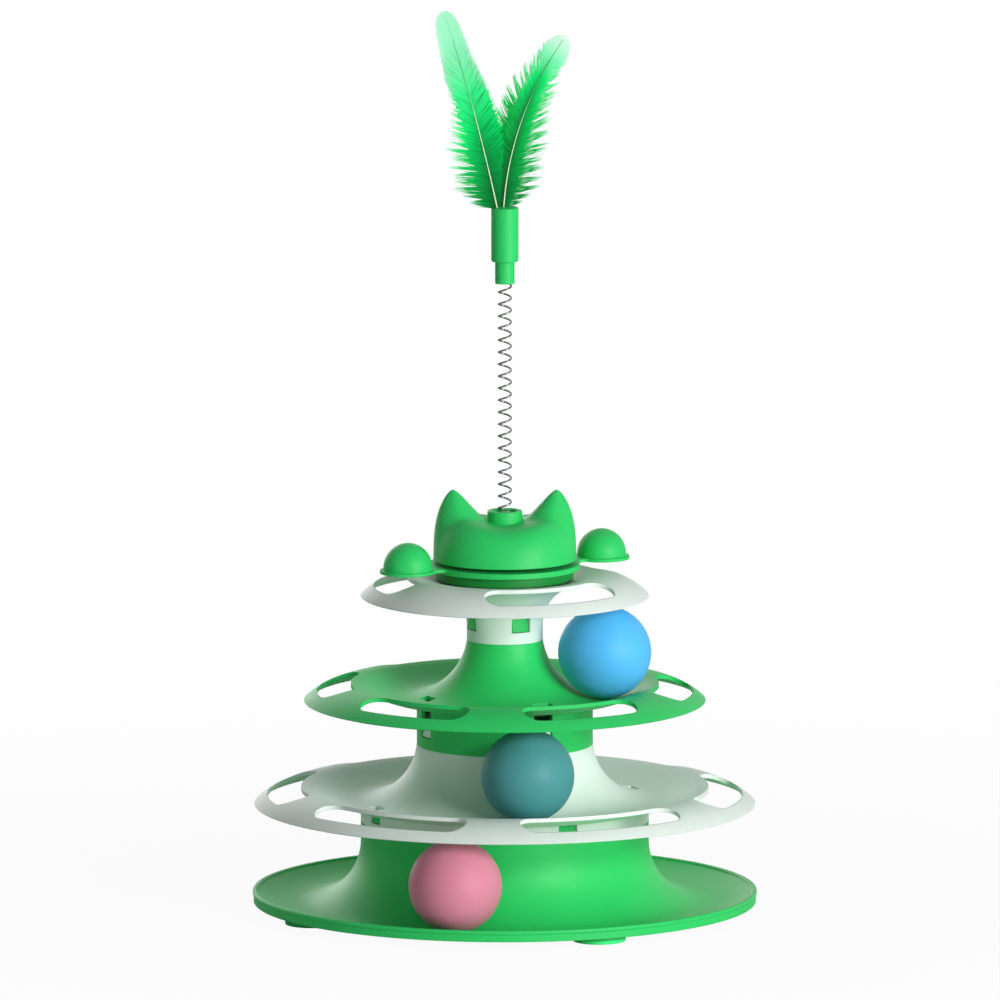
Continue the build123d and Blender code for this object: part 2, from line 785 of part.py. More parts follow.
def vane_width(share, width_shares):
    """Width of a vane at a share of its length, along straight runs between the named widths."""
    knots = list(zip(vane_length_shares, width_shares))
    for (low, low_width), (high, high_width) in zip(knots, knots[1:]):
        if share <= high:
            width_share = low_width + (high_width - low_width) * (share - low) / (high - low)
            return width_share * vane_half_width
    return width_shares[-1] * vane_half_width


def vane_edge(line, side, width_shares):
    """Edge of a vane from its foot to its tip: notched between the tufts, then smooth."""
    first = vane_length_shares[0]
    step = (tuft_end_share - first) / tuft_count
    knots = [(first, 1)]
    for number in range(tuft_count):
        low = first + number * step
        knots.append((low + tuft_lift_share * step, 1))
        knots.append((low + step, tuft_notch_share))
    knots += [(share, 1) for share in vane_length_shares if share > tuft_end_share]
    points = []
    for share, reach in knots:
        points.append(quill_point(line, share, side * reach * vane_width(share, width_shares)))
    return points


def feather(line):
    """A quill with a thin vane on both sides of it, wider on the side that it leans to."""
    stagger, bend = line[1], line[3]
    leaning = math.copysign(1, bend)
    outer = vane_edge(line, leaning, vane_outer_shares)
    inner = vane_edge(line, -leaning, vane_inner_shares)
    plane = Plane.XZ.offset(-stagger - vane_thickness / 2)
    blade = extrude(plane * make_face(Polyline(*outer, *reversed(inner), close=True)), vane_thickness)
    return blade + feather_quill(*line, quill_radius)


def ball(azimuth, orbit, floor_height):
    """A hollow ball that stands just clear of its track."""
    shell = Sphere(ball_radius) - Sphere(ball_radius - ball_wall)
    return place_at(azimuth, orbit, floor_height + rest_gap + ball_radius) * shell


parts = {
    "base_tray": base_tray(),
    "lower_tier": lower_tier(),
    "middle_tier": middle_tier(),
    "top_tier": top_tier(),
    "spinner": spinner(),
    "cat_ear_cap": cat_ear_cap(),
    "spring_plug": spring_plug(),
    "spring": spring(),
    "spring_socket": spring_socket(),
    "feather_sleeve": feather_sleeve(),
    "feather_left": feather(left_line),
    "feather_right": feather(right_line),
    "ball_pink": ball(pink_azimuth, base_arcs[0][0][0][0], base_floor_height),
    "ball_teal": ball(teal_azimuth, lower_arcs[0][0][0][0], lower_floor_height),
    "ball_blue": ball(blue_azimuth, middle_arcs[0][0][0][0], middle_floor_height),
}
foot_names = ("foot_front_right", "foot_rear_right", "foot_rear_left", "foot_front_left")
for foot_name, foot_azimuth in zip(foot_names, evenly(foot_count, snap_azimuth)):
    parts[foot_name] = foot(foot_azimuth)

os.makedirs("parts", exist_ok=True)
for name, shape in parts.items():
    export_step(shape, f"parts/{name}.step")
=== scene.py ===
import math
import random
from collections import namedtuple

import bpy
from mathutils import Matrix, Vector


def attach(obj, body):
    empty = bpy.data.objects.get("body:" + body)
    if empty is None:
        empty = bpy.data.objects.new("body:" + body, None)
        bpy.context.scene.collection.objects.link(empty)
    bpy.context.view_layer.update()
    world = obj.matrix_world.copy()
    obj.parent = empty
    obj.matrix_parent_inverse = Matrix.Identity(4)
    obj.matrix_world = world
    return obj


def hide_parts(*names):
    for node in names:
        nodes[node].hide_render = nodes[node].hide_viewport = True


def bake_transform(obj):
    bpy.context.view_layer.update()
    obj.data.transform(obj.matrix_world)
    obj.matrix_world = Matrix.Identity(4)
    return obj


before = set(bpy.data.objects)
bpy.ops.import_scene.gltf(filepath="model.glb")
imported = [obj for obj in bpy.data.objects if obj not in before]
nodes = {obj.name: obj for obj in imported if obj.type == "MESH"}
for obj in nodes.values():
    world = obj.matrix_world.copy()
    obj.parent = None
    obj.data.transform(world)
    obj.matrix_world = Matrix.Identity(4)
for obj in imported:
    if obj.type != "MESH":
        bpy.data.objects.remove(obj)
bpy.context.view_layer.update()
scene = bpy.context.scene

# Lengths of the object are written in millimetres and turned to metres by this
mm = 0.001

# Camera: some metres off with a long lens, a little above the tower
camera_distance = 22.0
camera_clip = 100
camera_elevation = 9.1
camera_target = Vector((-2.35, 0, 202.5)) * mm
frame_width = 489 * mm
sensor_width = 36.0

# Studio, in metres: the eye sees the floor as white by a share that grows away from the object
world_light = 0.16
floor_half = 9.0
floor_near_share = 0.94
floor_near = 0.2
floor_far = 0.8

# Moulded plastic: noise scales per metre, and how far each noise changes the finish
cloud_scale = 16
cloud_stops = (0.3, 0.7)
cloud_shades = (0.955, 1.03)
gloss_scale = 120
gloss_below = 0.05
gloss_above = 0.06
skin_scale = 1800
skin_depth = 0.3
edge_round = 0.7
edge_samples = 6
plastic_specular = 0.15
coat_roughness = 0.48
green_roughness = 0.52
white_roughness = 0.5
rubber_roughness = 0.62
rubber_grain = 0.12
ball_roughness = 0.5
ball_grain = 0.03
ball_coat = 0.14

# Spinner: where its skirt hangs, in the plate's shade, which is painted on the skirt as a darker green
skirt_top = 168.7
skirt_fade = 0.3
skirt_reach = 34.4

# Cat-ear cap: the source's sizes, with the shoulder run down into the wall in one smooth roll
cap_radius = 35.0
cap_top_radius = 34.2
cap_taper = 0.8
cap_foot = 173.4
cap_top = 190.2
cap_wall = 2.0
cap_skin = 3.0
cap_crown_rise = 1.0
cap_saddle_rise = 3.4
cap_saddle_radius = 25.65
cap_roll_reach = 15.4
cap_roll_drop = 27.0
cap_roll_power = 2.5
ear_top = 209.1
ear_tip_radius = 25.92
ear_tip_round = 1.0
ear_blend = 2.6
ear_inner_angle = 48.5
ear_outer_angle = 20.0
ear_front_angle = 56.0
boss_radius = 8.6
boss_bore = 6.0
boss_round = 0.6
boss_top = 197.4
cap_floor = 188.2
stem_radius = 7.4
stem_bore = 5.4
stem_foot = 162.9
seat_radius = 11.0
seat_foot = 171.9
seat_top = 173.9

# Cap: how fine its skin is
cap_curve_steps = 240
cap_outside_points = 84
cap_inside_points = 24
cap_turns = 192
boss_round_steps = 4
cap_sharp_angle = 32

# Wand: the spring's wire, as the source has it
plug_top = 193.2
socket_foot = 309.8
socket_bore_top = 316.8
spring_end_gap = 0.1
wire_diameter = 0.95
wire_sides = 12
coil_radius = 3.075
coil_count = 20
coil_steps = 36
wire_bend = 1.4
wire_bend_steps = 6

# Feathers: the quills' seats, as the source has them, and the quills' thickness
sleeve_top = 347.4
quill_depth = 8.0
quill_stagger = 1.3
quill_radius = 0.42
quill_thinning = 0.34
quill_thinning_power = 0.7
quill_end = 0.97
quill_steps = 48
quill_sides = 10
front_quill_proud = 0.6
rear_quill_proud = 0.1

# Feathers: how a vane bows out of its plane, across to its edge and along to its tip
vane_cup = 2.0
vane_cup_width = 18
vane_arch = 1.5

# Feathers: the web, a thin sheet behind the barbs that comes forward of them at the tip
web_rows = 110
web_columns = 9
web_start = 0.004
web_span = 0.994
web_root = 0.05
web_ragged = (-0.35, 0.45)
web_tip_from = 0.7
web_tip_run = 0.16
web_front_lift = 0.7
web_rear_drop = 0.75
narrowest_vane = 0.5

# Feathers: barbs, with their angles to the quill and where the inner vanes count as nearer to it, by height,
# which gives the inner vanes between the feathers painted shade
barb_angles = [(0.0, 80), (0.12, 72), (0.3, 58), (0.5, 44), (0.7, 32), (0.9, 22), (1.0, 15)]
inner_reaches = [(0.0, 0.25), (0.25, 0.4), (0.46, 0.6), (0.64, 1.0), (1.0, 1.0)]
barb_root = 0.2
barb_step = 0.6
barb_longest = 60
barb_angle_spread = (-4, 4)
barb_curl = (-10, 12)
barb_curl_length = 16
barb_least_angle = 6
barb_last_start = 0.985
barb_last_share = 0.996
barb_front = 0.1
ribbon_segments = 8
ribbon_tilt = (-0.5, 0.5)
ribbon_tilt_fall = 0.75
ribbon_taper = 0.92
ribbon_taper_power = 2.2
tuft_members = (6, 13)
tuft_spread = (0.9, 1.02)
tuft_pull = (0.6, 1.0)
tuft_pull_power = 1.6
loosest_tuft = 0.05
closed_reaches = (0.84, 0.975)

# Feathers: a short row that fills the vane, the main row in tufts, and a few stray barbs low down
Row = namedtuple("Row", "count end reaches tufted half_width layers")
barb_rows = [
    Row(count=260, end=0.985, reaches=(0.5, 0.72), tufted=False, half_width=0.34, layers=(0.0, 0.15)),
    Row(count=330, end=0.985, reaches=(0.94, 1.14), tufted=True, half_width=0.33, layers=(0.15, 0.5)),
    Row(count=34, end=0.5, reaches=(0.95, 1.15), tufted=False, half_width=0.1, layers=(0.1, 0.7)),
]

# Feathers: painted shade darkens them beside the quill low down, and the dye fades at the barbs' ends and
# differs from barb to barb
core_painted_shade = 0.42
core_reach = 0.55
fade_from = 0.66
fade_most = 0.8
streak_shade = 0.88
streak_scale = 90.0
streak_detail = 4.0
streak_noise = (0.3, 0.7)


def srgb(red, green, blue):
    """A colour written from 0 to 255, turned to the linear values that a shader takes."""
    values = []
    for level in (red, green, blue):
        share = level / 255
        values.append(share / 12.92 if share <= 0.04045 else ((share + 0.055) / 1.055) ** 2.4)
    return (*values, 1.0)


def grey(level):
    return (level, level, level, 1.0)


def scaled(colour, share):
    return tuple(min(1.0, level * share) for level in colour[:3]) + (1.0,)


def new_node(tree, kind, inputs=None, **settings):
    made = tree.nodes.new(kind)
    for key, value in settings.items():
        setattr(made, key, value)
    for key, value in (inputs or {}).items():
        made.inputs[key].default_value = value
    return made


class Finish:
    """A node material with one Principled shader."""

    def __init__(self, name):
        self.material = bpy.data.materials.new(name)
        self.material.use_nodes = True
        self.tree = self.material.node_tree
        self.shader = self.tree.nodes["Principled BSDF"]

    def node(self, kind, inputs=None, **settings):
        return new_node(self.tree, kind, inputs, **settings)

    def link(self, output, target):
        self.tree.links.new(output, target)

    def feed(self, output, name):
        """Links an output to one of the shader's sockets."""
        self.link(output, self.shader.inputs[name])

    def set(self, **levels):
        for key, value in levels.items():
            self.shader.inputs[key.replace("_", " ").title().replace("Ior", "IOR")].default_value = value

    def coords(self):
        return self.node("ShaderNodeTexCoord").outputs["Object"]

    def attribute(self, name):
        return self.node("ShaderNodeAttribute", attribute_name=name).outputs["Fac"]

    def noise(self, coords, scale, detail):
        made = self.node("ShaderNodeTexNoise", {"Scale": scale, "Detail": detail})
        self.link(coords, made.inputs["Vector"])
        return made.outputs["Fac"]

    def ramp(self, factor, stops):
        made = self.node("ShaderNodeValToRGB")
        while len(made.color_ramp.elements) < len(stops):
            made.color_ramp.elements.new(0.5)
        for element, (place, colour) in zip(made.color_ramp.elements, stops):
            element.position = place
            element.color = colour
        self.link(factor, made.inputs["Fac"])
        return made.outputs["Color"]

    def mapped(self, value, low, high, from_low=0.0, from_high=1.0):
        made = self.node("ShaderNodeMapRange", {
            "From Min": from_low, "From Max": from_high, "To Min": low, "To Max": high,
        })
        self.link(value, made.inputs["Value"])
        return made.outputs["Result"]

    def multiplied(self, first, second):
        made = self.node("ShaderNodeMath", operation="MULTIPLY")
        self.link(first, made.inputs[0])
        self.link(second, made.inputs[1])
        return made.outputs[0]

    def distance(self, vector):
        made = self.node("ShaderNodeVectorMath", operation="LENGTH")
        self.link(vector, made.inputs[0])
        return made.outputs["Value"]

    def mixed(self, factor, first, second, blend="MIX"):
        made = self.node("ShaderNodeMix", data_type="RGBA", blend_type=blend)
        factor_socket, first_socket, second_socket = made.inputs[0], made.inputs[6], made.inputs[7]
        for value, socket in ((factor, factor_socket), (first, first_socket), (second, second_socket)):
            if isinstance(value, bpy.types.NodeSocket):
                self.link(value, socket)
            else:
                socket.default_value = value
        return made.outputs[2]

    def bump(self, height, strength, depth, normal=None):
        made = self.node("ShaderNodeBump", {"Strength": strength, "Distance": depth * mm})
        self.link(height, made.inputs["Height"])
        if normal is not None:
            self.link(normal, made.inputs["Normal"])
        self.feed(made.outputs["Normal"], "Normal")


def skirt_painted_shade_mask(finish, coords):
    """Where the painted shade goes: 1 on the spinner's skirt, which hangs below the plate and near the
    middle, and 0 elsewhere.
    """
    split = finish.node("ShaderNodeSeparateXYZ")
    finish.link(coords, split.inputs[0])
    flat = finish.node("ShaderNodeCombineXYZ")
    for axis in ("X", "Y"):
        finish.link(split.outputs[axis], flat.inputs[axis])
    away = finish.distance(flat.outputs[0])
    below = finish.mapped(
        split.outputs["Z"], 1.0, 0.0, (skirt_top - skirt_fade) * mm, (skirt_top + skirt_fade) * mm,
    )
    inside = finish.mapped(away, 1.0, 0.0, (skirt_reach - skirt_fade) * mm, (skirt_reach + skirt_fade) * mm)
    return finish.multiplied(below, inside)


def plastic(name, colour, roughness, grain=0.05, coat=0.3, painted_skirt_shade=None):
    """Moulded plastic: cloudy pigment, a spark-eroded skin, uneven gloss and softened edges, and painted
    shade on the spinner's skirt when its colour is given.
    """
    finish = Finish(name)
    coords = finish.coords()
    cloud = finish.noise(coords, cloud_scale, detail=3)
    stops = [(stop, scaled(colour, shade)) for stop, shade in zip(cloud_stops, cloud_shades)]
    pigment = finish.ramp(cloud, stops)
    # Painted shade: the spinner's skirt under the plate takes a darker green
    if painted_skirt_shade:
        pigment = finish.mixed(skirt_painted_shade_mask(finish, coords), pigment, painted_skirt_shade)
    finish.feed(pigment, "Base Color")
    gloss = finish.noise(coords, gloss_scale, detail=4)
    finish.feed(finish.mapped(gloss, roughness - gloss_below, roughness + gloss_above), "Roughness")
    finish.set(specular_ior_level=plastic_specular, coat_weight=coat, coat_roughness=coat_roughness)
    skin = finish.noise(coords, skin_scale, detail=2)
    bevel = finish.node("ShaderNodeBevel", {"Radius": edge_round * mm}, samples=edge_samples)
    finish.bump(skin, grain, skin_depth, normal=bevel.outputs["Normal"])
    return finish.material


def dress(material, *names):
    """Gives a material to CAD nodes."""
    for name in names:
        nodes[name].data.materials.clear()
        nodes[name].data.materials.append(material)


def new_object(name, points, faces, material):
    mesh = bpy.data.meshes.new(name)
    mesh.from_pydata(points, [], faces)
    mesh.update()
    made = bpy.data.objects.new(name, mesh)
    mesh.materials.append(material)
    scene.collection.objects.link(made)
    return made


def write_attribute(made, name, values):
    attribute = made.data.attributes.new(name, "FLOAT", "POINT")
    attribute.data.foreach_set("value", values)


def smooth(made):
    for polygon in made.data.polygons:
        polygon.use_smooth = True


# Plastics and rubber on the CAD nodes
green_colour = srgb(42, 205, 102)
green = plastic("green_plastic", green_colour, green_roughness)
dress(green, "base_tray", "middle_tier", "spring_plug", "spring_socket", "feather_sleeve")
# The spinner's skirt is painted a darker green as the shade under its plate
dress(plastic("green_spinner_with_painted_shade", green_colour, green_roughness, painted_skirt_shade=srgb(18, 140, 56)), "spinner")
# The white plastic is off-white, and its faint mint tint is painted green bounce light from the green parts
dress(plastic("white_plastic", srgb(236, 249, 241), white_roughness), "lower_tier", "top_tier")
# Painted light: the rubber's green is brighter than the plastic's, standing in for bounce light on the feet
# under the base's rim
dress(
    plastic("green_rubber", srgb(74, 246, 144), rubber_roughness, grain=rubber_grain, coat=0.0),
    "foot_front_right", "foot_rear_right", "foot_rear_left", "foot_front_left",
)
for hue, ball_colour in (
    ("blue", srgb(88, 190, 255)),
    ("teal", srgb(74, 148, 150)),
    ("pink", srgb(222, 138, 160)),
):
    ball_finish = plastic(hue + "_plastic", ball_colour, ball_roughness, grain=ball_grain, coat=ball_coat)
    dress(ball_finish, "ball_" + hue)


# Cat-ear cap: one skin over a finer grid than the solid's, so that the ears' outer slopes are smooth
def cap_height(x, y):
    """How high the cap's top lies before its edge rolls over: a saddle with an ear at each side."""
    saddle_share = min(1.0, abs(x) / cap_saddle_radius)
    saddle = cap_top + cap_crown_rise + cap_saddle_rise * (1 - math.cos(math.pi * saddle_share)) / 2
    outward = abs(x) - ear_tip_radius
    side_fall = outward * math.tan(math.radians(ear_outer_angle if outward > 0 else ear_inner_angle))
    front_fall = y * math.tan(math.radians(ear_front_angle))
    peak = ear_top + ear_tip_round - math.hypot(side_fall, front_fall, ear_tip_round)
    return (saddle + peak + math.hypot(saddle - peak, ear_blend)) / 2


def cap_curve(turn, start):
    """Radius and height down the cap's outside in one direction, from a radius near the boss to the foot."""
    curve = []
    for step in range(cap_curve_steps + 1):
        radius = start + (cap_top_radius - start) * (1 - (1 - step / cap_curve_steps) ** 2)
        edge = max(0.0, radius - cap_top_radius + cap_roll_reach) / cap_roll_reach
        roll = 1 - max(0.0, 1 - edge ** cap_roll_power) ** (1 / cap_roll_power)
        height = cap_height(radius * math.cos(turn), radius * math.sin(turn)) - cap_roll_drop * roll
        spread = edge ** 2 * cap_taper * (ear_top - height) / (ear_top - cap_foot)
        if height < cap_foot:
            last_radius, last_height = curve[-1]
            share = (last_height - cap_foot) / (last_height - height)
            curve.append((last_radius + (radius + spread - last_radius) * share, cap_foot))
            return curve
        curve.append((radius + spread, height))
    return curve + [(cap_radius, cap_foot)]


def spaced(curve, count):
    """Points at even distances along a curve."""
    walked = [0.0]
    for low, high in zip(curve, curve[1:]):
        walked.append(walked[-1] + math.dist(low, high))
    points = []
    number = 0
    for step in range(count):
        goal = walked[-1] * step / (count - 1)
        while number < len(curve) - 2 and walked[number + 1] < goal:
            number += 1
        run = walked[number + 1] - walked[number]
        share = (goal - walked[number]) / run if run else 0.0
        points.append(tuple(a + (b - a) * share for a, b in zip(curve[number], curve[number + 1])))
    return points


def boss_rim():
    """The boss's rounded rim, from its bore over to its outside."""
    quarter = [math.pi / 2 * step / boss_round_steps for step in range(boss_round_steps + 1)]
    rim = []
    for angle in quarter[1:]:
        radius = boss_bore + boss_round * (1 - math.cos(angle))
        rim.append((radius, boss_top - boss_round * (1 - math.sin(angle))))
    for angle in quarter:
        radius = boss_radius - boss_round * (1 - math.sin(angle))
        rim.append((radius, boss_top - boss_round * (1 - math.cos(angle))))
    return rim


def cap_section(turn):
    """The cap's half section in one direction, from the boss's bore round the skin to the stem's bore."""
    outside = spaced(cap_curve(turn, boss_radius), cap_outside_points)
    inside_share = (cap_radius - cap_wall) / cap_radius
    hollow = []
    for radius, height in cap_curve(turn, stem_radius / inside_share):
        if height - cap_skin > cap_foot:
            hollow.append((radius * inside_share, height - cap_skin))
    hollow.append((outside[-1][0] - cap_wall, cap_foot))
    section = [(boss_bore, cap_top), (boss_bore, boss_top - boss_round)]
    section += boss_rim()
    section += outside
    section += reversed(spaced(hollow, cap_inside_points))
    section += [(stem_radius, seat_top), (seat_radius, seat_top)]
    section += [(seat_radius, seat_foot), (stem_radius, seat_foot)]
    section += [(stem_radius, stem_foot), (stem_bore, stem_foot), (stem_bore, cap_floor)]
    return section


def cap_skin_piece():
    """The cap's sections joined all round, closed by the floors of the boss's bore and of the stem's."""
    points = []
    faces = []
    for number in range(cap_turns):
        turn = 2 * math.pi * number / cap_turns
        section = cap_section(turn)
        count = len(section)
        for radius, height in section:
            points.append(Vector((radius * math.cos(turn), radius * math.sin(turn), height)) * mm)
        here = number * count
        beside = (number + 1) % cap_turns * count
        for ring in range(count - 1):
            faces.append((here + ring, here + ring + 1, beside + ring + 1, beside + ring))
    bore_middle = len(points)
    stem_middle = bore_middle + 1
    points += [Vector((0, 0, cap_top)) * mm, Vector((0, 0, cap_floor)) * mm]
    for number in range(cap_turns):
        here = number * count
        beside = (number + 1) % cap_turns * count
        faces.append((here, beside, bore_middle))
        faces.append((beside + count - 1, here + count - 1, stem_middle))
    made = new_object("cat_ear_cap_skin", points, faces, green)
    smooth(made)
    made.data.set_sharp_from_angle(angle=math.radians(cap_sharp_angle))
    return made


cap = cap_skin_piece()
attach(cap, "tower")
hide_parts("cat_ear_cap")


# Spring: one helix of drawn wire with an upright tail at each end, in two halves that meet at mid height
def wire_line():
    """Points along the wire's middle, from the plug up to the socket."""
    foot = plug_top + spring_end_gap
    head = socket_bore_top - spring_end_gap
    tail = wire_diameter + wire_bend
    climb = head - foot - 2 * tail
    bend = [step / wire_bend_steps * math.pi / 2 for step in range(1, wire_bend_steps)]
    points = [Vector((coil_radius, -wire_bend, foot))]
    points.append(Vector((coil_radius, -wire_bend, foot + wire_diameter)))
    for turn in bend:
        height = foot + wire_diameter + wire_bend * math.sin(turn)
        points.append(Vector((coil_radius, -wire_bend * math.cos(turn), height)))
    steps = coil_count * coil_steps
    for step in range(steps + 1):
        angle = 2 * math.pi * coil_count * step / steps
        height = foot + tail + climb * step / steps
        points.append(Vector((coil_radius * math.cos(angle), coil_radius * math.sin(angle), height)))
    for turn in reversed(bend):
        height = head - wire_diameter - wire_bend * math.sin(turn)
        points.append(Vector((coil_radius, wire_bend * math.cos(turn), height)))
    points.append(Vector((coil_radius, wire_bend, head - wire_diameter)))
    points.append(Vector((coil_radius, wire_bend, head)))
    return points


def tube(name, line, radii, sides, material):
    """A round tube along a line of points, with a radius at each and a flat face at each end."""
    points = []
    faces = []
    across = None
    for number, place in enumerate(line):
        before = line[max(0, number - 1)]
        after = line[min(len(line) - 1, number + 1)]
        way = (after - before).normalized()
        if across is None:
            across = way.orthogonal().normalized()
        across = (across - way * across.dot(way)).normalized()
        side = way.cross(across)
        for corner in range(sides):
            angle = 2 * math.pi * corner / sides
            points.append((place + (across * math.cos(angle) + side * math.sin(angle)) * radii[number]) * mm)
    for ring in range(len(line) - 1):
        for corner in range(sides):
            low = ring * sides + corner
            next_low = ring * sides + (corner + 1) % sides
            faces.append((low, next_low, next_low + sides, low + sides))
    faces.append(tuple(reversed(range(sides))))
    faces.append(tuple(range((len(line) - 1) * sides, len(line) * sides)))
    made = new_object(name, points, faces, material)
    smooth(made)
    return made


def steel_wire():
    """Drawn steel: fine streaks in its gloss, and a faint stain, over greys kept dark as a painted dark
    reflection.
    """
    finish = Finish("spring_steel")
    coords = finish.coords()
    drawn = finish.noise(coords, scale=2600, detail=3)
    finish.feed(finish.mapped(drawn, low=0.16, high=0.34), "Roughness")
    stain = finish.noise(coords, scale=90, detail=3)
    # Painted reflection: these greys are far darker than steel, standing in for dark surroundings in the
    # wire's reflection
    finish.feed(finish.ramp(stain, [(0.3, srgb(96, 106, 100)), (0.75, srgb(138, 148, 141))]), "Base Color")
    finish.bump(drawn, strength=0.06, depth=0.1)
    finish.set(metallic=1.0)
    return finish.material


steel = steel_wire()
wire = wire_line()
middle_height = (boss_top + socket_foot) / 2
split = next(number for number, place in enumerate(wire) if place.z > middle_height)
for half, line, bodies, low, high in (
    ("spring_lower_half", wire[:split + 1], ("tower", "spring"), boss_top, middle_height),
    ("spring_upper_half", wire[split:], ("spring", "teaser"), middle_height, socket_foot),
):
    coil = tube(half, line, [wire_diameter / 2] * len(line), wire_sides, steel)
    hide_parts("spring")
    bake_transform(coil)


# Feathers: each has a quill, rows of barbs and a web, and two sides with knots of share and value along them
Side = namedtuple("Side", "way widths clumps fills")


class Quill:
    """The arc that a feather's quill follows."""

    def __init__(self, root, lean, bend, length, stagger):
        self.root = root
        self.lean = math.radians(lean)
        self.bend = math.radians(bend)
        self.length = length
        self.stagger = stagger

    def point(self, share, aside=0.0, forward=0.0):
        """A point at a share of the length, some way to the right of the quill and in front of it."""
        radius = self.length / self.bend
        now = self.lean + self.bend * share
        x = self.root + radius * (math.cos(self.lean) - math.cos(now)) + aside * math.cos(now)
        z = sleeve_top + radius * (math.sin(now) - math.sin(self.lean)) - aside * math.sin(now)
        return Vector((x, self.stagger - forward, z))


def between(knots, share):
    """A value read along straight runs between knots of share and value."""
    for (low, low_value), (high, high_value) in zip(knots, knots[1:]):
        if share <= high:
            return low_value + (high_value - low_value) * max(0.0, share - low) / (high - low)
    return knots[-1][1]


def bow(share, away):
    """How far a vane bows out of its plane."""
    return vane_cup * (away / vane_cup_width) ** 2 + vane_arch * share ** 2


def barb_line(quill, start, widths, reach, rng):
    """One barb as shares along the quill and distances from it, out to the vane's edge."""
    share = start
    away = barb_root
    angle = between(barb_angles, start) + rng.uniform(*barb_angle_spread)
    curl = rng.uniform(*barb_curl)
    walked = 0.0
    line = [(share, away)]
    while walked < barb_longest:
        now = math.radians(max(barb_least_angle, angle - curl * min(1.0, walked / barb_curl_length)))
        share += math.cos(now) * barb_step / quill.length
        away += math.sin(now) * barb_step
        walked += barb_step
        if share > barb_last_share or away > reach * between(widths, share):
            break
        line.append((share, away))
    return line


class Sheet:
    """Points and faces for one mesh, with the values that its dye reads at each point."""

    def __init__(self):
        self.points = []
        self.faces = []
        self.shares = []
        self.reaches = []
        self.tints = []

    def add(self, point, share, reach, tint):
        self.points.append(point * mm)
        self.shares.append(share)
        self.reaches.append(reach)
        self.tints.append(tint)

    def piece(self, name, material):
        made = new_object(name, self.points, self.faces, material)
        smooth(made)
        write_attribute(made, "share", self.shares)
        write_attribute(made, "reach", self.reaches)
        write_attribute(made, "tint", self.tints)
        return made


class Vane:
    """The barbs and the web of one feather, which bows forward or back."""

    def __init__(self, quill, forward, rng):
        self.quill = quill
        self.forward = forward
        self.rng = rng
        self.barbs = Sheet()
        self.webs = Sheet()

    def colour_and_painted_shade_reach(self, way, share, reach):
        """How far out a spot counts for its colour: less on the vanes that lie between the quills, which so
        take more of the painted shade.
        """
        return reach * between(inner_reaches, share) if way == self.forward else reach

    def web(self, side):
        """The closed part of the vane on one side: a thin sheet behind the barbs, before them at the tip."""
        first = len(self.webs.points)
        for row in range(web_rows + 1):
            share = web_start + web_span * row / web_rows
            fill = between(side.fills, share)
            vane_width = between(side.widths, share)
            width = vane_width * fill * (1 + (1 - fill) * self.rng.uniform(*web_ragged))
            sweep = math.tan(math.radians(between(barb_angles, share))) * self.quill.length
            tip = min(1.0, max(0.0, (share - web_tip_from) / web_tip_run))
            lift = web_front_lift * tip if self.forward > 0 else -web_rear_drop * (1 - tip)
            for column in range(web_columns + 1):
                away = web_root + width * column / web_columns
                point = self.quill.point(share, side.way * away, self.forward * bow(share, away) + lift)
                reach = self.colour_and_painted_shade_reach(side.way, share, away / max(narrowest_vane, vane_width))
                self.webs.add(point, share, reach, share - away / sweep)
        for row in range(web_rows):
            for column in range(web_columns):
                low = first + row * (web_columns + 1) + column
                above = low + web_columns + 1
                self.webs.faces.append((low, low + 1, above + 1, above))

    def ribbon(self, way, line, leader, pull, half_width, layer, tint):
        """A tapering ribbon along a barb, drawn towards the tip of the barb that leads its tuft."""
        tilt = self.rng.uniform(*ribbon_tilt) * (1 - ribbon_tilt_fall * line[0][0])
        end_share, end_away = line[-1]
        spots = []
        for segment in range(ribbon_segments + 1):
            along = segment / ribbon_segments
            at = along * (len(line) - 1)
            low = int(at)
            high = min(low + 1, len(line) - 1)
            part = at - low
            share = line[low][0] * (1 - part) + line[high][0] * part
            away = line[low][1] * (1 - part) + line[high][1] * part
            share += (leader[0] - end_share) * pull * along ** tuft_pull_power
            away += (leader[1] - end_away) * pull * along ** tuft_pull_power
            forward = self.forward * (barb_front + layer + bow(share, away))
            spots.append((share, self.quill.point(share, way * away, forward)))
        first = len(self.barbs.points)
        for segment, (share, here) in enumerate(spots):
            along = segment / ribbon_segments
            half = half_width * (1 - ribbon_taper * along ** ribbon_taper_power)
            run = spots[min(ribbon_segments, segment + 1)][1] - spots[max(0, segment - 1)][1]
            flat = Vector((run.z, 0, -run.x)).normalized()
            edge = (flat * math.cos(tilt) + Vector((0, 1, 0)) * math.sin(tilt)) * half
            reach = self.colour_and_painted_shade_reach(way, share, along)
            self.barbs.add(here - edge, share, reach, tint)
            self.barbs.add(here + edge, share, reach, tint)
        for segment in range(ribbon_segments):
            low = first + 2 * segment
            self.barbs.faces.append((low, low + 1, low + 3, low + 2))

    def row(self, side, row):
        """A row of barbs up one side, in tufts whose members lean together."""
        rng = self.rng
        spacing = row.end / row.count
        start = 0.0
        while start < row.end:
            members = rng.randint(*tuft_members)
            clump = between(side.clumps, start) if row.tufted else 0.0
            tuft_reach = rng.uniform(*row.reaches)
            lines = []
            for number in range(members):
                if clump > loosest_tuft:
                    reach = tuft_reach * rng.uniform(*tuft_spread)
                else:
                    reach = rng.uniform(*row.reaches)
                    if row.tufted:
                        reach = rng.uniform(*closed_reaches)
                place = min(start + spacing * number, barb_last_start)
                lines.append(barb_line(self.quill, place, side.widths, reach, rng))
            leader = lines[members // 2][-1]
            layer = rng.uniform(*row.layers)
            for line in lines:
                pull = clump * rng.uniform(*tuft_pull)
                self.ribbon(side.way, line, leader, pull, row.half_width, layer, rng.random())
            start += spacing * members


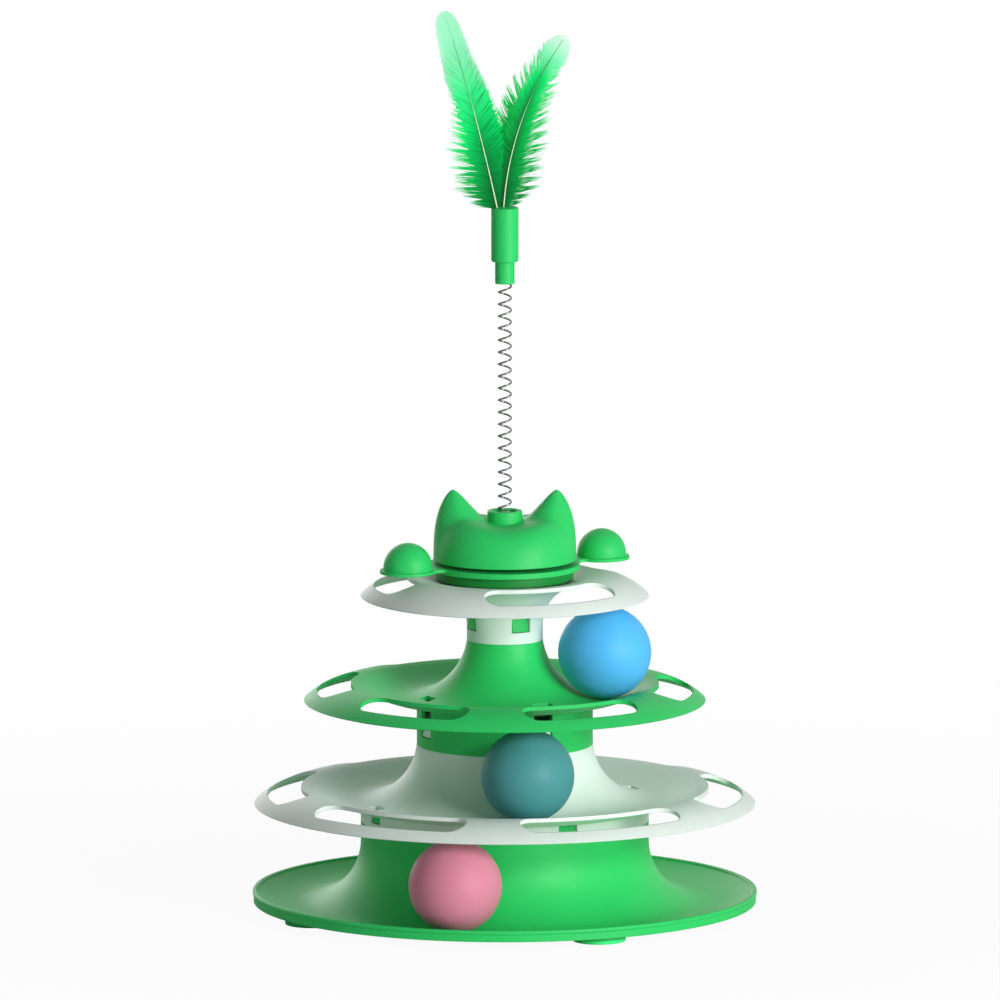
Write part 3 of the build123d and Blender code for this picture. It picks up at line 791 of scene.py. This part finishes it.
def barb_finish(name, colours, painted_shade_shares, streaked=False):
    """Dyed barbs: colour along the quill, a dark core low down that is painted shade, paler ends, each barb a
    little apart.
    """
    finish = Finish(name)
    share = finish.attribute("share")
    reach = finish.attribute("reach")
    tint = finish.attribute("tint")
    # Painted shade: darker beside the quill low down and on the inner vanes between the feathers
    painted_core_shade = finish.ramp(reach, [(0.0, grey(core_painted_shade)), (core_reach, grey(1.0))])
    depth = finish.ramp(share, [(painted_shade_shares[0], grey(1.0)), (painted_shade_shares[1], grey(0.0))])
    painted_deep_shade = finish.mixed(depth, grey(1.0), painted_core_shade)
    dyed_and_shaded = finish.mixed(1.0, finish.ramp(share, colours), painted_deep_shade, "MULTIPLY")
    faded = finish.mixed(finish.mapped(reach, 0.0, fade_most, fade_from, 1.0), dyed_and_shaded, barb_end_colour)
    if streaked:
        barb = finish.node(
            "ShaderNodeTexNoise", {"Scale": streak_scale, "Detail": streak_detail}, noise_dimensions="1D",
        )
        finish.link(tint, barb.inputs["W"])
        tint = finish.mapped(barb.outputs["Fac"], 0.0, 1.0, *streak_noise)
    streak = finish.ramp(tint, [(0.0, grey(streak_shade)), (1.0, grey(1.0))])
    finish.feed(finish.mixed(1.0, faded, streak, "MULTIPLY"), "Base Color")
    finish.feed(finish.mapped(tint, low=0.5, high=0.68), "Roughness")
    finish.set(specular_ior_level=0.1, sheen_weight=0.06)
    return finish.material


def quill_finish(name):
    """A pale quill that takes the dye towards its tip."""
    finish = Finish(name)
    finish.feed(finish.ramp(finish.attribute("share"), quill_colours), "Base Color")
    horn = finish.noise(finish.coords(), scale=700, detail=2)
    finish.feed(finish.mapped(horn, low=0.3, high=0.46), "Roughness")
    return finish.material


def feather(name, quill, sides, colours, painted_shade_shares, forward, seed):
    """A dyed feather: a tapered quill and rows of fine barbs that part into tufts low down."""
    vane = Vane(quill, forward, random.Random(seed))
    for side in sides:
        vane.web(side)
        for row in barb_rows:
            vane.row(side, row)
    barbs = vane.barbs.piece(name + "_barbs", barb_finish(name + "_dye_and_painted_shade", colours, painted_shade_shares))
    web = vane.webs.piece(name + "_web", barb_finish(name + "_web_dye_and_painted_shade", colours, painted_shade_shares, streaked=True))

    seat = -quill_depth / quill.length
    shares = [seat + (quill_end - seat) * step / quill_steps for step in range(quill_steps + 1)]
    radii = [quill_radius - quill_thinning * max(0.0, share) ** quill_thinning_power for share in shares]
    proud = front_quill_proud if forward > 0 else rear_quill_proud
    middles = [quill.point(share, 0, forward * vane_arch * share ** 2 + proud) for share in shares]
    shaft = tube(name + "_quill", middles, radii, quill_sides, quill_finish(name + "_horn"))
    write_attribute(shaft, "share", [share for share in shares for corner in range(quill_sides)])
    for piece in (barbs, web, shaft):
        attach(piece, "teaser")
        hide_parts(name)


barb_end_colour = srgb(196, 255, 222)
quill_colours = [
    (0.0, srgb(226, 244, 206)), (0.45, srgb(196, 240, 190)),
    (0.62, srgb(96, 214, 132)), (0.85, srgb(40, 170, 90)),
]
left_colours = [
    (0.0, srgb(0, 142, 58)), (0.2, srgb(0, 204, 92)), (0.4, srgb(0, 248, 120)),
    (0.58, srgb(56, 255, 148)), (0.75, srgb(142, 255, 192)), (1.0, srgb(176, 255, 212)),
]
right_colours = [
    (0.0, srgb(0, 138, 56)), (0.3, srgb(0, 182, 76)), (0.55, srgb(0, 214, 94)),
    (0.74, srgb(12, 246, 124)), (0.86, srgb(132, 255, 188)), (1.0, srgb(236, 255, 244)),
]
left_outer = Side(
    way=-1,
    widths=[
        (0, 7), (0.05, 13), (0.12, 17), (0.22, 18.5), (0.34, 16.5), (0.45, 13.2), (0.55, 10.6), (0.68, 9.2),
        (0.8, 8.0), (0.9, 6.9), (0.95, 5.8), (0.98, 4.2), (1.0, 1.2),
    ],
    clumps=[(0, 0.9), (0.45, 0.9), (0.58, 0.6), (0.66, 0.0), (1, 0)],
    fills=[(0, 0.36), (0.4, 0.42), (0.55, 0.7), (0.66, 1.0), (1, 1.0)],
)
left_inner = Side(
    way=1,
    widths=[
        (0, 1.8), (0.1, 4.6), (0.25, 9.6), (0.4, 12.5), (0.5, 11.5), (0.62, 8.9), (0.75, 6.6), (0.88, 5.5),
        (0.95, 4.7), (0.98, 3.4), (1.0, 1.0),
    ],
    clumps=[(0, 0.2), (0.3, 0.4), (0.5, 0.4), (0.62, 0.0), (1, 0)],
    fills=[(0, 0.9), (0.3, 0.85), (0.48, 0.8), (0.62, 1.0), (1, 1.0)],
)
right_outer = Side(
    way=1,
    widths=[
        (0, 6), (0.05, 11), (0.12, 15.5), (0.25, 17), (0.4, 15), (0.55, 12.5), (0.7, 10), (0.82, 8),
        (0.92, 6.5), (0.97, 4), (1.0, 0.4),
    ],
    clumps=[(0, 0.9), (0.6, 0.9), (0.78, 0.6), (0.86, 0.1), (1, 0)],
    fills=[(0, 0.36), (0.5, 0.4), (0.78, 0.55), (0.88, 0.95), (1, 1.0)],
)
right_inner = Side(
    way=-1,
    widths=[
        (0, 4), (0.1, 8), (0.25, 11), (0.4, 12.5), (0.52, 13), (0.65, 12.5), (0.78, 9.5), (0.9, 7),
        (0.97, 4), (1.0, 0.4),
    ],
    clumps=[(0, 0.2), (0.3, 0.5), (0.5, 0.9), (0.84, 0.85), (0.92, 0.1), (1, 0)],
    fills=[(0, 0.9), (0.35, 0.75), (0.5, 0.45), (0.8, 0.45), (0.9, 0.95), (1, 1.0)],
)
feather(
    "feather_left", Quill(root=-3.8, lean=-12.0, bend=-6.0, length=100.8, stagger=-quill_stagger),
    (left_outer, left_inner), left_colours, painted_shade_shares=(0.32, 0.62), forward=1, seed=11,
)
feather(
    "feather_right", Quill(root=-0.6, lean=4.0, bend=32.0, length=91.0, stagger=quill_stagger),
    (right_outer, right_inner), right_colours, painted_shade_shares=(0.62, 0.88), forward=-1, seed=23,
)


# World: white to the eye, and a weak even light on the object
def studio_world():
    world = bpy.data.worlds.new("studio")
    world.use_nodes = True
    tree = world.node_tree
    background = tree.nodes["Background"]
    background.inputs["Color"].default_value = (1, 1, 1, 1)
    path = new_node(tree, "ShaderNodeLightPath")
    seen = new_node(tree, "ShaderNodeMath", operation="MAXIMUM")
    seen_all = new_node(tree, "ShaderNodeMath", operation="MAXIMUM")
    strength = new_node(tree, "ShaderNodeMapRange", {"To Min": world_light, "To Max": 1.0})
    tree.links.new(path.outputs["Is Camera Ray"], seen.inputs[0])
    tree.links.new(path.outputs["Is Glossy Ray"], seen.inputs[1])
    tree.links.new(seen.outputs[0], seen_all.inputs[0])
    tree.links.new(path.outputs["Is Transmission Ray"], seen_all.inputs[1])
    tree.links.new(seen_all.outputs[0], strength.inputs["Value"])
    tree.links.new(strength.outputs["Result"], background.inputs["Strength"])
    return world


def floor_finish():
    """Pale and matt, with a glow that only the camera sees, so that the floor runs into the white."""
    finish = Finish("floor_white")
    finish.set(base_color=srgb(246, 247, 246), roughness=0.9)
    away = finish.distance(finish.coords())
    share = finish.mapped(away, floor_near_share, 1.0, floor_near, floor_far)
    seen = finish.node("ShaderNodeLightPath").outputs["Is Camera Ray"]
    glow = finish.node("ShaderNodeEmission", {"Strength": 1.0})
    mix = finish.node("ShaderNodeMixShader")
    finish.link(finish.multiplied(seen, share), mix.inputs[0])
    finish.link(finish.shader.outputs[0], mix.inputs[1])
    finish.link(glow.outputs[0], mix.inputs[2])
    finish.link(mix.outputs[0], finish.tree.nodes["Material Output"].inputs["Surface"])
    return finish.material


def lamp(name, place, target, size, power):
    """A round soft lamp that faces a target."""
    light = bpy.data.lights.new(name, "AREA")
    light.shape = "DISK"
    light.size = size
    light.energy = power
    made = bpy.data.objects.new(name, light)
    made.location = place
    made.rotation_mode = "QUATERNION"
    made.rotation_quaternion = (Vector(target) - Vector(place)).to_track_quat("-Z", "Y")
    scene.collection.objects.link(made)


scene.world = studio_world()
floor_corners = [(x * floor_half, y * floor_half, 0) for x, y in ((-1, -1), (1, -1), (1, 1), (-1, 1))]
floor = new_object("floor", floor_corners, [(0, 1, 2, 3)], floor_finish())
lamp("key", place=(1.55, -1.85, 0.66), target=(0, 0, 0.15), size=1.1, power=53)
lamp("fill", place=(-2.2, -1.2, 0.9), target=(0, 0, 0.15), size=1.4, power=0.9)
lamp("back", place=(-0.9, 2.3, 0.6), target=(0, 0, 0.2), size=1.5, power=14)

camera_data = bpy.data.cameras.new("camera")
camera_data.sensor_width = sensor_width
camera_data.lens = sensor_width * camera_distance / frame_width
camera_data.clip_end = camera_clip
camera = bpy.data.objects.new("camera", camera_data)
scene.collection.objects.link(camera)
camera_lift = math.radians(camera_elevation)
camera.location = camera_target + Vector((0, -math.cos(camera_lift), math.sin(camera_lift))) * camera_distance
camera.rotation_mode = "QUATERNION"
camera.rotation_quaternion = (camera_target - camera.location).to_track_quat("-Z", "Y")
scene.camera = camera
scene.view_settings.view_transform = "Standard"
